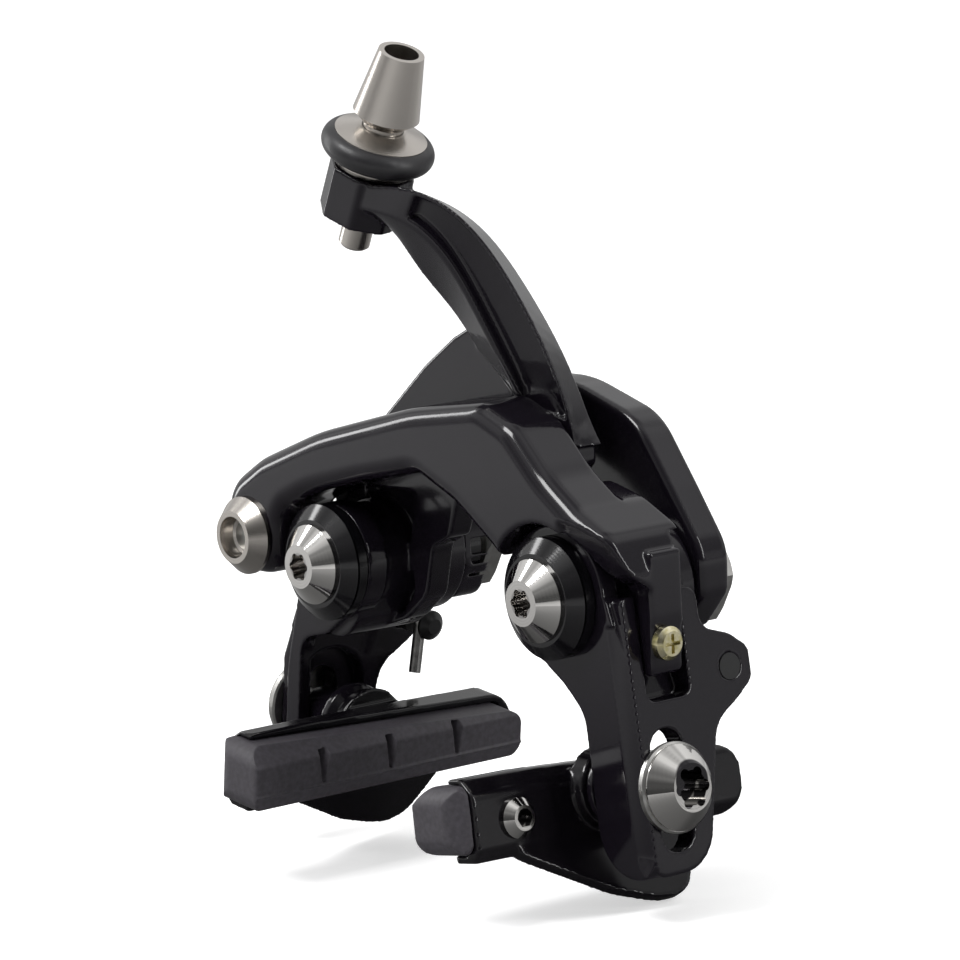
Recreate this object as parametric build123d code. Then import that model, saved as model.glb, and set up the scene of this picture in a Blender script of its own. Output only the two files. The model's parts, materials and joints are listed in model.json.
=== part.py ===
from build123d import *

import math
import os

# Direct mount rim brake caliper, in millimetres.
# X runs to the right seen from the front, Y runs back towards the frame, Z is up.
# The origin lies midway between the two mount bolts, in the plane of the nuts' rear faces.
# Everything is drawn with y = 0 at the bolt heads' seat and moved back at the end.
# Legs and shoes are drawn with the brake closed on the rim and swung open to rest.

os.makedirs("parts", exist_ok=True)

LEFT = -1
RIGHT = 1
SIDE_NAMES = {LEFT: "left", RIGHT: "right"}

# Pivots
BOLT_SPACING = 56.0
PIVOT_X = BOLT_SPACING / 2
OPEN_ANGLE = 8.0
TRAVEL_ANGLE = 11.0

# Fits and gaps
RUNNING_FIT = 0.05
SIDE_GAP = 0.3
EASY_GAP = 0.1
FILLET_SHARE = 0.98

# Mount bolt
BOLT_R = 3.0
HEAD_HEIGHT = 3.0
HEAD_SEAT_R = 6.55
HEAD_FACE_R = 3.6
SOCKET_R = 2.35
SOCKET_DEPTH = 3.8
BOLT_TIP_LENGTH = 3.5
BOLT_END_R = 2.7
BOLT_RELIEF_R = 2.4
BOLT_RELIEF_LENGTH = 0.5

# Collar under the bolt head
COLLAR_THICKNESS = 3.8
COLLAR_FACE_R = 7.3
COLLAR_R = 9.6
COLLAR_RIM = 2.0
COLLAR_GROOVE = 0.4

# Bush on which an arm turns
BUSH_LENGTH = 20.2
BUSH_R = 4.9

# Clamp stack behind the arms
EAR_THICKNESS = 2.0
EAR_SPOTFACE_R = 9.2
SPACER_THICKNESS = 2.4
SPACER_R = 8.7
SPIGOT_LENGTH = 2.0
SPIGOT_R = 5.5
NUT_THICKNESS = 3.6
NUT_ACROSS_FLATS = 15.0
NUT_CHAMFER = 0.9
NUT_MOUTH_R = 4.4
NUT_MOUTH_DEPTH = 0.9

# Return spring
WIRE_R = 1.0
COIL_R = 7.8
COIL_PITCH = 2.55
COIL_TURNS = 1.25

SPRING_END_X = -4.1
SPRING_END_Y = 23.2
SPRING_END_Z = -22.2
SPRING_HOOK_Y = 25.6
SPRING_HOOK_Z = -10.7
SPRING_DROP_Z = -12.8
SPRING_BEND_R = 2.4

# Cup behind each hub for the spring coil
TANG_REACH = 2.6
SPRING_EXIT_INNER = 3.9
CUP_R = 10.6
CUP_WALL = 1.2

# Shoe leg
CHEEK_R = 11.2
HUB_SPACE_R = 11.4
REAR_CHEEK_GAP = 9.7
WINDOW_FRONT = 8.2
WINDOW_BOTTOM = -17.5
CHEEK_THICKNESS = 3.1
LEG_FACE_X = PIVOT_X + 13.8
LEG_WALL = 3.8
LEG_BACK = 20.7
LEG_FOOT_BACK = 16.6
LEG_BOTTOM = -44.4
LEG_TOP = -1.0
FLANGE_THICKNESS = 2.4
SLOT_Y = 10.6
SLOT_WIDTH = 6.5
SLOT_TOP = -21.8
SLOT_BOTTOM = -40.9
EAR_Y = 25.6
EAR_Z = -14.5
EAR_R = 4.4
EAR_PIN_R = 2.1

# Shoe bolt stack
SHOE_BOLT_ZS = {LEFT: -28.9, RIGHT: -31.0}
SHOE_BOLT_R = 2.5
SHOE_WASHER_R = 7.1
SHOE_WASHER_THICKNESS = 1.4
SHOE_HEAD_SEAT_R = 6.7
SHOE_HEAD_FACE_R = 3.8
SHOE_HEAD_HEIGHT = 3.4
SHOE_SOCKET_R = 3.4

# Cable adjuster, measured down its axis from the top of the cone
ADJUSTER_TOP_X = -3.2
ADJUSTER_TOP_Z = 83.5
ADJUSTER_Y = 4.0
ADJUSTER_LEAN = 25.5
CONE_TOP_R = 3.7
CONE_FOOT_R = 5.4
CONE_LENGTH = 10.8
CONE_BORE_R = 2.8
CONE_BORE_DEPTH = 9.0
CONE_TAPER = 1.8
CABLE_BORE_R = 1.1
NECK_R = 3.3
KNOB_TOP = 13.3
FLANGE_DEPTH = 14.8
FLANGE_R = 7.5
GRIP_DEPTH = 16.7
GRIP_R = 7.1
GRIP_TUBE_R = 2.1
HUB_R = 7.0
BOSS_TOP = 20.3
BOSS_FOOT = 29.0
BOSS_R = 7.1
STEM_R = 2.55
STEM_END = 34.5
STEM_GROOVE = 0.35

# Cable anchor
ANCHOR_X = -PIVOT_X - 18.7
ANCHOR_Z = 2.9
ANCHOR_BOSS_R = 7.2
ANCHOR_NUT_R = 6.5
ANCHOR_NUT_FACE_R = 4.4
ANCHOR_NUT_HEIGHT = 2.4
ANCHOR_BORE_R = 3.5
ANCHOR_BOLT_R = 2.5

# Spring end holder in the leg's ear
HOLDER_R = 2.2
HOLDER_KNOB_R = 2.5
HOLDER_END_X = PIVOT_X - 1.0
HOLDER_SLIT_X = PIVOT_X + 2.4
HOLDER_SLIT = 3.8
HOLDER_SLIT_BACK = 1.9
LEFT_WALL_X = PIVOT_X + 7.6

# Shoe, measured from the shoe bolt's axis along Y and Z
SHOE_BACK_X = PIVOT_X - 2.4
SHOE_BOSS_X = PIVOT_X - 0.6
DOME_R = 6.4
DOME_NECK_R = 3.8
DOME_BACK_X = PIVOT_X + 2.2
PAD_FRONTS = {LEFT: -31.8, RIGHT: -29.2}
PAD_LENGTH = 55.5
PAD_TOP_FALL = 2.4
SHOE_TILTS = {LEFT: 0.0, RIGHT: -1.5}
PAD_FACE_X = PIVOT_X - 14.2
PAD_BACK_X = PIVOT_X - 5.4
PAD_TOP = 4.3
PAD_PARTING = -3.5
PAD_RIDGE = 0.3
PAD_SHOULDER = 1.4
PAD_BEVEL = 3.2
PAD_NOSE_R = 3.0
PAD_BOTTOM = -6.6
PAD_GROOVES = 3
GROOVE_DEPTH = 2.4
GROOVE_WIDTH = 2.6
HOLDER_SETBACK = 3.0
HOLDER_LENGTH = 55.0
HOLDER_LIP = 0.8
HOLDER_SOLE = 1.4
HOLDER_HOOK = 3.0
WING_DEPTH = 11.5
WING_THICKNESS = 2.2
WING_FLARE = 24.0
PAD_SCREW_Y = -18.0
PAD_SCREW_Z = -2.0
PAD_SCREW_R = 1.5
PAD_SCREW_HEAD_R = 3.2
PAD_SCREW_HEAD_HEIGHT = 1.9
PAD_SCREW_KEY_R = 1.5
PAD_SCREW_KEY_DEPTH = 1.3

# Left hub and web
HUB_BARREL_R = 8.8
WEB_FRONT = 13.0
WEB_BACK = 17.6
WEB_RECESS = 2.4

ANCHOR_WASHER_R = 5.2
ANCHOR_WASHER_THICKNESS = 1.0
ANCHOR_HEAD_R = 4.4
ANCHOR_HEAD_HEIGHT = 3.2
ANCHOR_KEY_R = 2.3

# Anchor arm
HUB_R_ANCHOR = 9.8
BEAM_FRONT = 0.8
BEAM_BACK = 11.7
TONGUE_FRONT = 8.6
TONGUE_BACK = 14.8
TONGUE_FOOT = -11.5
TONGUE_FACE_X = PIVOT_X + 17.4
TONGUE_WALL = 3.6
SCREW_Y = 10.8
SCREW_Z = -6.2
SCREW_R = 1.5
SCREW_HEAD_R = 2.65
SCREW_HEAD_HEIGHT = 1.9
SCREW_TIP_X = PIVOT_X + 9.75
ROLLER_X = 12.4
ROLLER_Z = 21.5
ROLLER_R = 2.4
ROLLER_GAP = 0.3
ROLLER_PIN_R = 1.0
ROLLER_FRONT = 12.4
ROLLER_BACK = 15.4

# Positions along Y
collar_back = COLLAR_THICKNESS
arm_front = collar_back + SIDE_GAP
bush_back = collar_back + BUSH_LENGTH
arm_back = bush_back - SIDE_GAP
ear_back = bush_back + EAR_THICKNESS
spacer_back = ear_back + SPACER_THICKNESS
plate_back = spacer_back + SPIGOT_LENGTH
STACK_DEPTH = plate_back + NUT_THICKNESS
rear_cheek_front = arm_front + CHEEK_THICKNESS + REAR_CHEEK_GAP
hub_front = arm_front + CHEEK_THICKNESS + SIDE_GAP
hub_back = rear_cheek_front - SIDE_GAP
cup_floor = rear_cheek_front + 1.4
coil_front = cup_floor + WIRE_R + EASY_GAP
arm_bore_r = BUSH_R + RUNNING_FIT
bolt_bore_r = BOLT_R + RUNNING_FIT


def rounded(corners, plane):
    """Face inside straight sides, each corner given as (across, up, radius).

    A radius that its two sides can't hold is taken down until it fits.
    """
    points = [Vector(across, up) for across, up, radius in corners]
    radii = [radius for across, up, radius in corners]
    count = len(points)
    setbacks = []
    for index, radius in enumerate(radii):
        turn = (points[index] - points[index - 1]).get_angle(points[(index + 1) % count] - points[index])
        setbacks.append(math.tan(math.radians(turn) / 2))
    shares = [1.0] * count
    for index in range(count):
        after = (index + 1) % count
        side_length = (points[after] - points[index]).length
        needed = radii[index] * setbacks[index] + radii[after] * setbacks[after]
        if needed > side_length * FILLET_SHARE:
            share = side_length * FILLET_SHARE / needed
            shares[index] = min(shares[index], share)
            shares[after] = min(shares[after], share)
    fitted = [radius * share for radius, share in zip(radii, shares)]
    return plane * make_face(FilletPolyline(*points, radius=fitted, close=True))


def slab(corners, front, back):
    """Solid with an outline in X and Z between two depths."""
    face = Pos(0, front, 0) * rounded(corners, Plane.XZ)
    return extrude(face, amount=back - front, dir=(0, 1, 0))


def side_slab(corners, near, far):
    """Solid with an outline in Y and Z between two distances along X."""
    face = Pos(near, 0, 0) * rounded(corners, Plane.YZ)
    return extrude(face, amount=far - near, dir=(1, 0, 0))


def turned(profile):
    """Solid turned about the Y axis from (radius, y) points."""
    face = make_face(Polyline(*profile, close=True))
    return revolve(face, axis=Axis.Y)


def turned_x(profile):
    """Solid turned about the X axis from (radius, x) points."""
    return Rot(0, 0, -90) * turned([(radius, x) for radius, x in profile])


def disc(x, z, radius, front, back):
    """Round bar along Y."""
    return turned([(0, front), (radius, front), (radius, back), (0, back)]).moved(Location((x, 0, z)))


def star_recess(radius, depth):
    """Six-lobed driver recess that opens at y = 0 and goes back."""
    lobe_r = radius * 0.27
    sketch = Circle(radius * 0.8)
    for lobe in range(6):
        angle = math.radians(60 * lobe)
        reach = radius - lobe_r
        sketch += Pos(reach * math.cos(angle), reach * math.sin(angle)) * Circle(lobe_r)
    return extrude(Plane.XZ * sketch, amount=depth, dir=(0, 1, 0))


def at_pivot(shape, side):
    """Moves a piece drawn on the Y axis to a mount bolt."""
    return Pos(side * PIVOT_X, 0, 0) * shape


def swing_open(shape, side):
    """Turns a leg piece from closed to rest about its mount bolt."""
    pivot = Pos(side * PIVOT_X, 0, 0)
    return pivot * Rot(0, -side * OPEN_ANGLE, 0) * pivot.inverse() * shape


def to_side(shape, side):
    """Mirrors a right-hand piece for the left side."""
    return shape if side == RIGHT else mirror(shape, about=Plane.YZ)


def make_mount_bolt():
    tip = STACK_DEPTH + BOLT_TIP_LENGTH
    relief = STACK_DEPTH - NUT_MOUTH_DEPTH
    bolt = turned([
        (0, -HEAD_HEIGHT),
        (HEAD_FACE_R, -HEAD_HEIGHT),
        (HEAD_SEAT_R, -0.5),
        (HEAD_SEAT_R, 0),
        (BOLT_R, 0),
        (BOLT_R, relief),
        (BOLT_RELIEF_R, relief),
        (BOLT_RELIEF_R, relief + BOLT_RELIEF_LENGTH),
        (BOLT_END_R, relief + BOLT_RELIEF_LENGTH),
        (BOLT_END_R, tip - 0.6),
        (BOLT_END_R - 0.6, tip),
        (0, tip),
    ])
    return bolt - Pos(0, -HEAD_HEIGHT, 0) * star_recess(SOCKET_R, SOCKET_DEPTH)


def make_collar():
    rim_front = collar_back - COLLAR_RIM
    return turned([
        (bolt_bore_r, 0),
        (COLLAR_FACE_R, 0),
        (COLLAR_R, rim_front),
        (COLLAR_R - COLLAR_GROOVE, rim_front),
        (COLLAR_R - COLLAR_GROOVE, rim_front + COLLAR_GROOVE),
        (COLLAR_R, rim_front + COLLAR_GROOVE),
        (COLLAR_R, collar_back),
        (bolt_bore_r, collar_back),
    ])


def make_bush():
    return turned([
        (bolt_bore_r, collar_back),
        (BUSH_R, collar_back),
        (BUSH_R, bush_back),
        (bolt_bore_r, bush_back),
    ])


def make_spacer():
    return turned([
        (bolt_bore_r, ear_back),
        (SPACER_R, ear_back),
        (SPACER_R, spacer_back),
        (bolt_bore_r, spacer_back),
    ])


def make_nut():
    corner_r = NUT_ACROSS_FLATS / math.sqrt(3)
    hexagon = Plane.XZ * RegularPolygon(corner_r, 6)
    body = extrude(Pos(0, plate_back, 0) * hexagon, amount=NUT_THICKNESS, dir=(0, 1, 0))
    blank = turned([
        (0, plate_back),
        (corner_r - NUT_CHAMFER, plate_back),
        (corner_r, plate_back + NUT_CHAMFER * 0.6),
        (corner_r, STACK_DEPTH - NUT_CHAMFER * 0.6),
        (corner_r - NUT_CHAMFER, STACK_DEPTH),
        (0, STACK_DEPTH),
    ])
    spigot = turned([(0, spacer_back), (SPIGOT_R, spacer_back), (SPIGOT_R, plate_back), (0, plate_back)])
    nut = (body & blank) + spigot - disc(0, 0, bolt_bore_r, spacer_back, STACK_DEPTH)
    return nut - disc(0, 0, NUT_MOUTH_R, STACK_DEPTH - NUT_MOUTH_DEPTH, STACK_DEPTH)


def make_bridge_plate():
    half = [
        (9.8, 30.2, 25),
        (PIVOT_X - 2.5, 25.3, 12),
        (PIVOT_X + 5.3, 14.5, 30),
        (PIVOT_X + 11.6, 5.4, 8),
        (PIVOT_X + 11.3, -1.8, 3),
        (PIVOT_X + 6.0, -7.8, 3),
        (PIVOT_X - 5.5, -9.3, 4),
        (PIVOT_X - 9.1, -3.0, 4),
        (PIVOT_X - 9.1, 5.5, 8),
        (9.0, 16.6, 11),
    ]
    outline = half + [(-x, z, radius) for x, z, radius in reversed(half)]
    plate = slab(outline, bush_back, plate_back)
    plate = chamfer(plate.faces().sort_by(Axis.Y)[0].outer_wire().edges(), 0.7)
    plate = chamfer(plate.faces().sort_by(Axis.Y)[-1].outer_wire().edges(), 0.7)
    for side in (LEFT, RIGHT):
        plate -= disc(side * PIVOT_X, 0, bolt_bore_r, bush_back, plate_back)
        plate -= disc(side * PIVOT_X, 0, EAR_SPOTFACE_R, ear_back, plate_back)
        plate -= disc(side * (PIVOT_X - TANG_REACH), COIL_R, WIRE_R + EASY_GAP, bush_back, ear_back)
    return plate


def biarc(start, start_way, end, end_way):
    """Two arcs that join two points along given directions."""
    chord = end - start
    ways = start_way + end_way
    spread = 2 * (1 - start_way.dot(end_way))
    along = chord.dot(ways)
    reach = (-along + math.sqrt(along * along + spread * chord.dot(chord))) / spread
    middle = (start + start_way * reach + end - end_way * reach) / 2
    first = TangentArc(start, middle, tangent=start_way)
    return [first, TangentArc(middle, end, tangent=first % 1)]


def least_self_gap(path):
    """Least gap of the wire to itself, measured on points along its middle."""
    step = WIRE_R / 2
    count = round(path.length / step)
    points = [path @ (index / count) for index in range(count + 1)]
    apart = round(6 * WIRE_R / step)
    least = min(
        (points[late] - points[early]).length
        for early in range(count + 1)
        for late in range(early + apart, count + 1)
    )
    return least - 2 * WIRE_R


def make_return_spring(side):
    """Torsion spring: coil round the bush, tang in the bridge plate, long end at the leg."""
    quarters = round(COIL_TURNS * 4)
    rise = COIL_PITCH / 4

    def coil_point(step):
        angle = math.radians(180 - 90 * step)
        return Vector(COIL_R * math.cos(angle), coil_front + rise * step, COIL_R * math.sin(angle))

    def coil_way(step):
        angle = math.radians(180 - 90 * step)
        speed = COIL_R * math.pi / 2
        return Vector(speed * math.sin(angle), rise, -speed * math.cos(angle)).normalized()

    coil = []
    for step in range(quarters):
        coil += biarc(coil_point(step), coil_way(step), coil_point(step + 1), coil_way(step + 1))
    coil_end = coil_point(quarters)
    tang_start = coil_end + coil_way(quarters) * TANG_REACH
    tang_end = Vector(tang_start.X, ear_back - EASY_GAP, tang_start.Z)
    tang = FilletPolyline(coil_end, tang_start, tang_end, radius=1.4)
    tail = FilletPolyline(
        (SPRING_END_X, SPRING_END_Y, SPRING_END_Z),
        (SPRING_END_X, SPRING_HOOK_Y, SPRING_HOOK_Z),
        (-COIL_R, coil_front, SPRING_DROP_Z),
        coil_point(0),
        radius=SPRING_BEND_R,
    )
    path = Wire(tail.edges() + ShapeList(coil) + tang.edges())
    print(f"return spring {SIDE_NAMES[side]}: least gap to itself {least_self_gap(path):.2f} mm")
    section = Plane(origin=path @ 0, z_dir=path % 0) * Circle(WIRE_R)
    return sweep(section, path=path)


def star_socket_x(radius, depth, face_x):
    """Driver recess that opens at a face turned to +X."""
    return Pos(face_x, 0, 0) * Rot(0, 0, 90) * star_recess(radius, depth)


def make_leg_plate(inside):
    """Outer wall of a shoe leg, closed, on the right."""
    corners = [
        (arm_front + 1.2, LEG_BOTTOM, 2.0),
        (LEG_FOOT_BACK, LEG_BOTTOM, 7.0),
        (LEG_BACK + 0.8, -22.6, 6.0),
        (EAR_Y + 1.0, -19.6, 3.5),
        (EAR_Y + EAR_R, EAR_Z - 2.5, 2.4),
        (EAR_Y + EAR_R, EAR_Z + 2.5, 2.4),
        (EAR_Y + 0.8, -9.4, 4.0),
        (LEG_BACK, -7.6, 3.0),
        (LEG_BACK, LEG_TOP, 2.0),
        (arm_front + 1.2, LEG_TOP, 1.0),
    ]
    return side_slab(corners, inside, LEG_FACE_X)


def shoe_slot():
    """Upright slot for the shoe bolt, right through the leg."""
    half = SLOT_WIDTH / 2
    corners = [
        (SLOT_Y - half, SLOT_TOP, half - 0.01),
        (SLOT_Y + half, SLOT_TOP, half - 0.01),
        (SLOT_Y + half, SLOT_BOTTOM, half - 0.01),
        (SLOT_Y - half, SLOT_BOTTOM, half - 0.01),
    ]
    return side_slab(corners, LEG_FACE_X - 20, LEG_FACE_X + 5)


def ear_hole():
    """Hole in the leg's ear for the spring end's holder."""
    bore = turned_x([(0, HOLDER_END_X), (EAR_PIN_R, HOLDER_END_X), (EAR_PIN_R, LEG_FACE_X), (0, LEG_FACE_X)])
    return Pos(0, EAR_Y, EAR_Z) * bore


def edge_strip():
    """Shallow concave strip along the front outer edge of a leg."""
    foot = LEG_BOTTOM + 4.0
    strip = extrude(Pos(LEG_FACE_X + 1.6, arm_front - 6.6, foot) * Circle(8.0), amount=-5.0 - foot)
    return strip + Pos(LEG_FACE_X + 1.6, arm_front - 6.6, foot) * Sphere(8.0)


def washer_recess():
    """Long recess round the slot in the thick wall of the left leg, for the domed washer."""
    half = DOME_R + 0.6
    top = SLOT_TOP + half - SLOT_WIDTH / 2
    bottom = SLOT_BOTTOM - half + SLOT_WIDTH / 2
    corners = [
        (SLOT_Y - half, top, half - 0.01),
        (SLOT_Y + half, top, half - 0.01),
        (SLOT_Y + half, bottom - 2.0, 1.0),
        (SLOT_Y - half, bottom - 2.0, 1.0),
    ]
    return side_slab(corners, LEFT_WALL_X - 1, LEG_FACE_X - LEG_WALL)


def spring_cup(front):
    """Round cup behind a hub that holds the spring coil, its space not yet cut."""
    return turned([(arm_bore_r, front), (CUP_R, front), (CUP_R, arm_back), (arm_bore_r, arm_back)])


def cup_cavity():
    """Ring-shaped space for the coil, open at the back."""
    return turned([
        (arm_bore_r + 1.3, cup_floor),
        (CUP_R - CUP_WALL, cup_floor),
        (CUP_R - CUP_WALL, STACK_DEPTH),
        (arm_bore_r + 1.3, STACK_DEPTH),
    ])


def spring_exit():
    """Opening in the right cup's wall for the spring's long end, closed."""
    inner = SPRING_EXIT_INNER
    outer = LEG_FACE_X - LEG_WALL - PIVOT_X - 0.2
    height = CUP_R + 6.4
    depth = arm_back - cup_floor + 2
    place = Pos((inner + outer) / 2, cup_floor + depth / 2, 0.8 - height / 2)
    return place * Box(outer - inner, depth, height)


def make_right_leg():
    flange = slab([
        (PIVOT_X - 6.0, -9.2, 3.0),
        (PIVOT_X - 0.9, -13.6, 6.0),
        (PIVOT_X + 3.0, -18.4, 6.0),
        (PIVOT_X + 2.5, LEG_BOTTOM, 8.0),
        (LEG_FACE_X - 0.4, LEG_BOTTOM, 2.0),
        (LEG_FACE_X - 0.4, -10.0, 8.0),
        (PIVOT_X + 11.0, 1.0, 3.0),
        (PIVOT_X, 1.0, 1.0),
    ], arm_front, arm_front + FLANGE_THICKNESS)
    front_cheek = disc(PIVOT_X, 0, CHEEK_R, arm_front, arm_front + CHEEK_THICKNESS)
    rear_cheek = slab([
        (PIVOT_X - 8.0, -6.0, 5.0),
        (PIVOT_X, -13.5, 5.0),
        (LEG_FACE_X - 1, -16.5, 2.0),
        (LEG_FACE_X - 1, -6.0, 6.0),
        (PIVOT_X + 9.0, 3.0, 4.0),
        (PIVOT_X, 3.0, 1.0),
    ], rear_cheek_front, LEG_BACK)
    plate = make_leg_plate(LEG_FACE_X - LEG_WALL)
    window = side_slab([
        (WINDOW_FRONT, 8.0, 0.5),
        (rear_cheek_front, 8.0, 0.5),
        (rear_cheek_front, WINDOW_BOTTOM, 1.8),
        (WINDOW_FRONT, WINDOW_BOTTOM, 1.8),
    ], LEG_FACE_X - LEG_WALL - 1, LEG_FACE_X + 1)
    plate -= window
    cross_wall = slab([
        (PIVOT_X + 4.4, -4.0, 1.0),
        (PIVOT_X + 7.0, -4.0, 1.0),
        (PIVOT_X + 9.2, -12.0, 4.0),
        (LEG_FACE_X - LEG_WALL + 0.5, -16.4, 1.0),
        (LEG_FACE_X - LEG_WALL + 0.5, -19.4, 1.0),
        (PIVOT_X + 5.5, -16.8, 3.0),
    ], arm_front + 1, LEG_BACK - 1)
    leg = plate + flange + front_cheek + rear_cheek + cross_wall
    leg += at_pivot(spring_cup(rear_cheek_front), RIGHT)
    hub_space = disc(PIVOT_X, 0, HUB_SPACE_R, arm_front + CHEEK_THICKNESS, rear_cheek_front)
    leg -= hub_space
    leg -= edge_strip()
    leg -= shoe_slot()
    leg -= ear_hole()
    leg -= disc(PIVOT_X, 0, arm_bore_r, 0, STACK_DEPTH)
    leg -= at_pivot(cup_cavity(), RIGHT)
    leg -= at_pivot(spring_exit(), RIGHT)
    return leg


def on_adjuster(shape):
    """Places a piece drawn down from the cone's top along Z on the adjuster's axis."""
    return Pos(ADJUSTER_TOP_X, ADJUSTER_Y, ADJUSTER_TOP_Z) * Rot(0, ADJUSTER_LEAN, 0) * shape


def turned_down(profile):
    """Solid turned about Z from (radius, depth below the cone's top) points."""
    face = Plane.XZ * make_face(Polyline(*[(radius, -depth) for radius, depth in profile], close=True))
    return revolve(face, axis=Axis.Z)


def make_cable_stem():
    stem = turned_down([
        (CONE_BORE_R, 0),
        (CONE_TOP_R, 0),
        (CONE_FOOT_R, CONE_LENGTH),
        (NECK_R, CONE_LENGTH + CONE_TAPER),
        (NECK_R, KNOB_TOP + 1.2),
        (STEM_R, KNOB_TOP + 1.2),
        (STEM_R, BOSS_FOOT + 0.5),
        (STEM_R - STEM_GROOVE, BOSS_FOOT + 0.5),
        (STEM_R - STEM_GROOVE, BOSS_FOOT + 1.5),
        (STEM_R, BOSS_FOOT + 1.5),
        (STEM_R, STEM_END - 0.5),
        (STEM_R - 0.5, STEM_END),
        (CABLE_BORE_R, STEM_END),
        (CABLE_BORE_R, CONE_BORE_DEPTH),
        (CONE_BORE_R, CONE_BORE_DEPTH),
    ])
    return on_adjuster(stem)


def make_adjuster_knob():
    knob = turned_down([
        (NECK_R + EASY_GAP, KNOB_TOP),
        (NECK_R + 0.6, KNOB_TOP),
        (FLANGE_R, FLANGE_DEPTH - 0.3),
        (FLANGE_R, FLANGE_DEPTH + 0.2),
        (FLANGE_R - 0.8, FLANGE_DEPTH + 0.4),
        (FLANGE_R - 0.8, BOSS_TOP - 0.9),
        (HUB_R - 0.6, BOSS_TOP - SIDE_GAP),
        (STEM_R + EASY_GAP, BOSS_TOP - SIDE_GAP),
        (STEM_R + EASY_GAP, KNOB_TOP + 1.2 + EASY_GAP),
        (NECK_R + EASY_GAP, KNOB_TOP + 1.2 + EASY_GAP),
    ])
    ring_space = Pos(0, 0, -GRIP_DEPTH) * Torus(GRIP_R, GRIP_TUBE_R)
    return on_adjuster(knob - ring_space)


def make_grip_ring():
    ring = Pos(0, 0, -GRIP_DEPTH) * Torus(GRIP_R, GRIP_TUBE_R)
    nib = Pos(-GRIP_R - GRIP_TUBE_R, 0, -GRIP_DEPTH) * Sphere(0.5)
    return on_adjuster(ring + nib)


def arm_section(edge, way, reaches, front, back):
    """Five-sided section of the tall arm across a line in X and Z."""
    ridge, right_front, right_back = reaches
    length = math.hypot(*way)
    step_x, step_z = way[0] / length, way[1] / length

    def point(reach, depth):
        return (edge[0] + step_x * reach, depth, edge[1] + step_z * reach)

    corners = [
        point(0, back),
        point(0, front + EDGE_SETBACK),
        point(ridge, front),
        point(right_front, front),
        point(right_back, back),
    ]
    return make_face(Polyline(*corners, close=True))


# Sections of the tall arm from the boss down to its tip: left edge, line across,
# reaches of the left ridge, right ridge and back edge along it, front and back
EDGE_SETBACK = 3.4
ARM_SECTIONS = [
    ((-13.5, 57.0), (0.42, 0.91), (3.0, 7.6, 5.4), -2.0, 8.6),
    ((-4.6, 51.3), (0.52, 0.85), (6.6, 12.8, 8.2), 1.2, 11.2),
    ((-2.6, 45.6), (0.80, 0.60), (8.6, 17.8, 11.8), 4.5, 13.3),
    ((-0.5, 40.4), (0.94, 0.34), (7.9, 19.2, 14.0), 7.5, 14.8),
    ((2.0, 34.3), (1.0, 0.10), (7.7, 20.0, 15.4), 10.0, 17.0),
    ((6.2, 29.0), (0.985, -0.17), (5.5, 18.0, 15.6), 12.2, 18.0),
    ((8.2, 27.4), (0.94, -0.33), (4.0, 16.8, 17.6), 12.6, 18.0),
]


def make_tall_arm():
    return loft([arm_section(*section) for section in ARM_SECTIONS])


def make_arm_pocket():
    """Long shallow pocket between the two ridges of the tall arm."""
    rim = 1.0
    depth = 1.8
    sections = []
    for edge, way, reaches, front, back in ARM_SECTIONS[1:-1]:
        ridge, right_front, right_back = reaches
        length = math.hypot(*way)
        step_x, step_z = way[0] / length, way[1] / length
        corners = []
        for reach, level in (
            (ridge + rim, front - 1.0),
            (ridge + rim, front),
            (ridge + rim + 0.5, front + depth),
            (right_front - rim - 0.5, front + depth),
            (right_front - rim, front),
            (right_front - rim, front - 1.0),
        ):
            corners.append((edge[0] + step_x * reach, level, edge[1] + step_z * reach))
        sections.append(make_face(Polyline(*corners, close=True)))
    return loft(sections)


def make_adjuster_boss():
    octagon = fillet(RegularPolygon(BOSS_R, 8).vertices(), 1.0)
    body = extrude(Pos(0, 0, -BOSS_FOOT) * Rot(0, 0, -8.7) * octagon, amount=BOSS_FOOT - BOSS_TOP)
    return on_adjuster(body)


def make_left_hub():
    front_plate = disc(-PIVOT_X, 0, COLLAR_R, arm_front, arm_front + 4.0)
    barrel = disc(-PIVOT_X, 0, HUB_BARREL_R, arm_front, rear_cheek_front + 0.5)
    return front_plate + barrel + at_pivot(spring_cup(rear_cheek_front), LEFT)


def make_left_web():
    web = slab([
        (5.0, 45.0, 2.0),
        (1.2, 40.2, 6.0),
        (-5.2, 37.2, 1.5),
        (-12.8, 32.2, 20.0),
        (-PIVOT_X + 3.2, 22.4, 20.0),
        (-PIVOT_X - 10.5, 12.0, 6.0),
        (-PIVOT_X - 9.2, -5.0, 6.0),
        (-PIVOT_X - 8.0, -13.4, 1.5),
        (-PIVOT_X, -12.6, 20.0),
        (-PIVOT_X + 7.4, -10.2, 3.0),
        (-PIVOT_X + 12.9, -6.0, 4.0),
        (-12.9, 2.6, 2.5),
        (-8.4, 4.6, 2.0),
        (-5.0, 13.5, 5.0),
        (4.0, 20.0, 6.0),
        (19.0, 15.0, 1.0),
        (23.6, 18.9, 1.5),
        (23.4, 22.6, 0.5),
        (14.0, 36.0, 4.0),
    ], WEB_FRONT, WEB_BACK)
    floor = WEB_FRONT + WEB_RECESS
    lower_recess = slab([
        (-PIVOT_X + 0.4, -4.0, 0.5),
        (-PIVOT_X - 3.4, -11.0, 0.6),
        (-PIVOT_X + 5.9, -9.4, 2.0),
        (-PIVOT_X + 9.6, -6.0, 2.0),
        (-PIVOT_X + 9.6, -2.0, 0.5),
    ], WEB_FRONT - 1, floor)
    upper_recess = slab([
        (-PIVOT_X - 3.0, 11.2, 0.8),
        (-PIVOT_X + 8.7, 1.6, 0.8),
        (-PIVOT_X + 11.4, 11.0, 0.8),
    ], WEB_FRONT - 1, floor)
    return web - lower_recess - upper_recess


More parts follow.
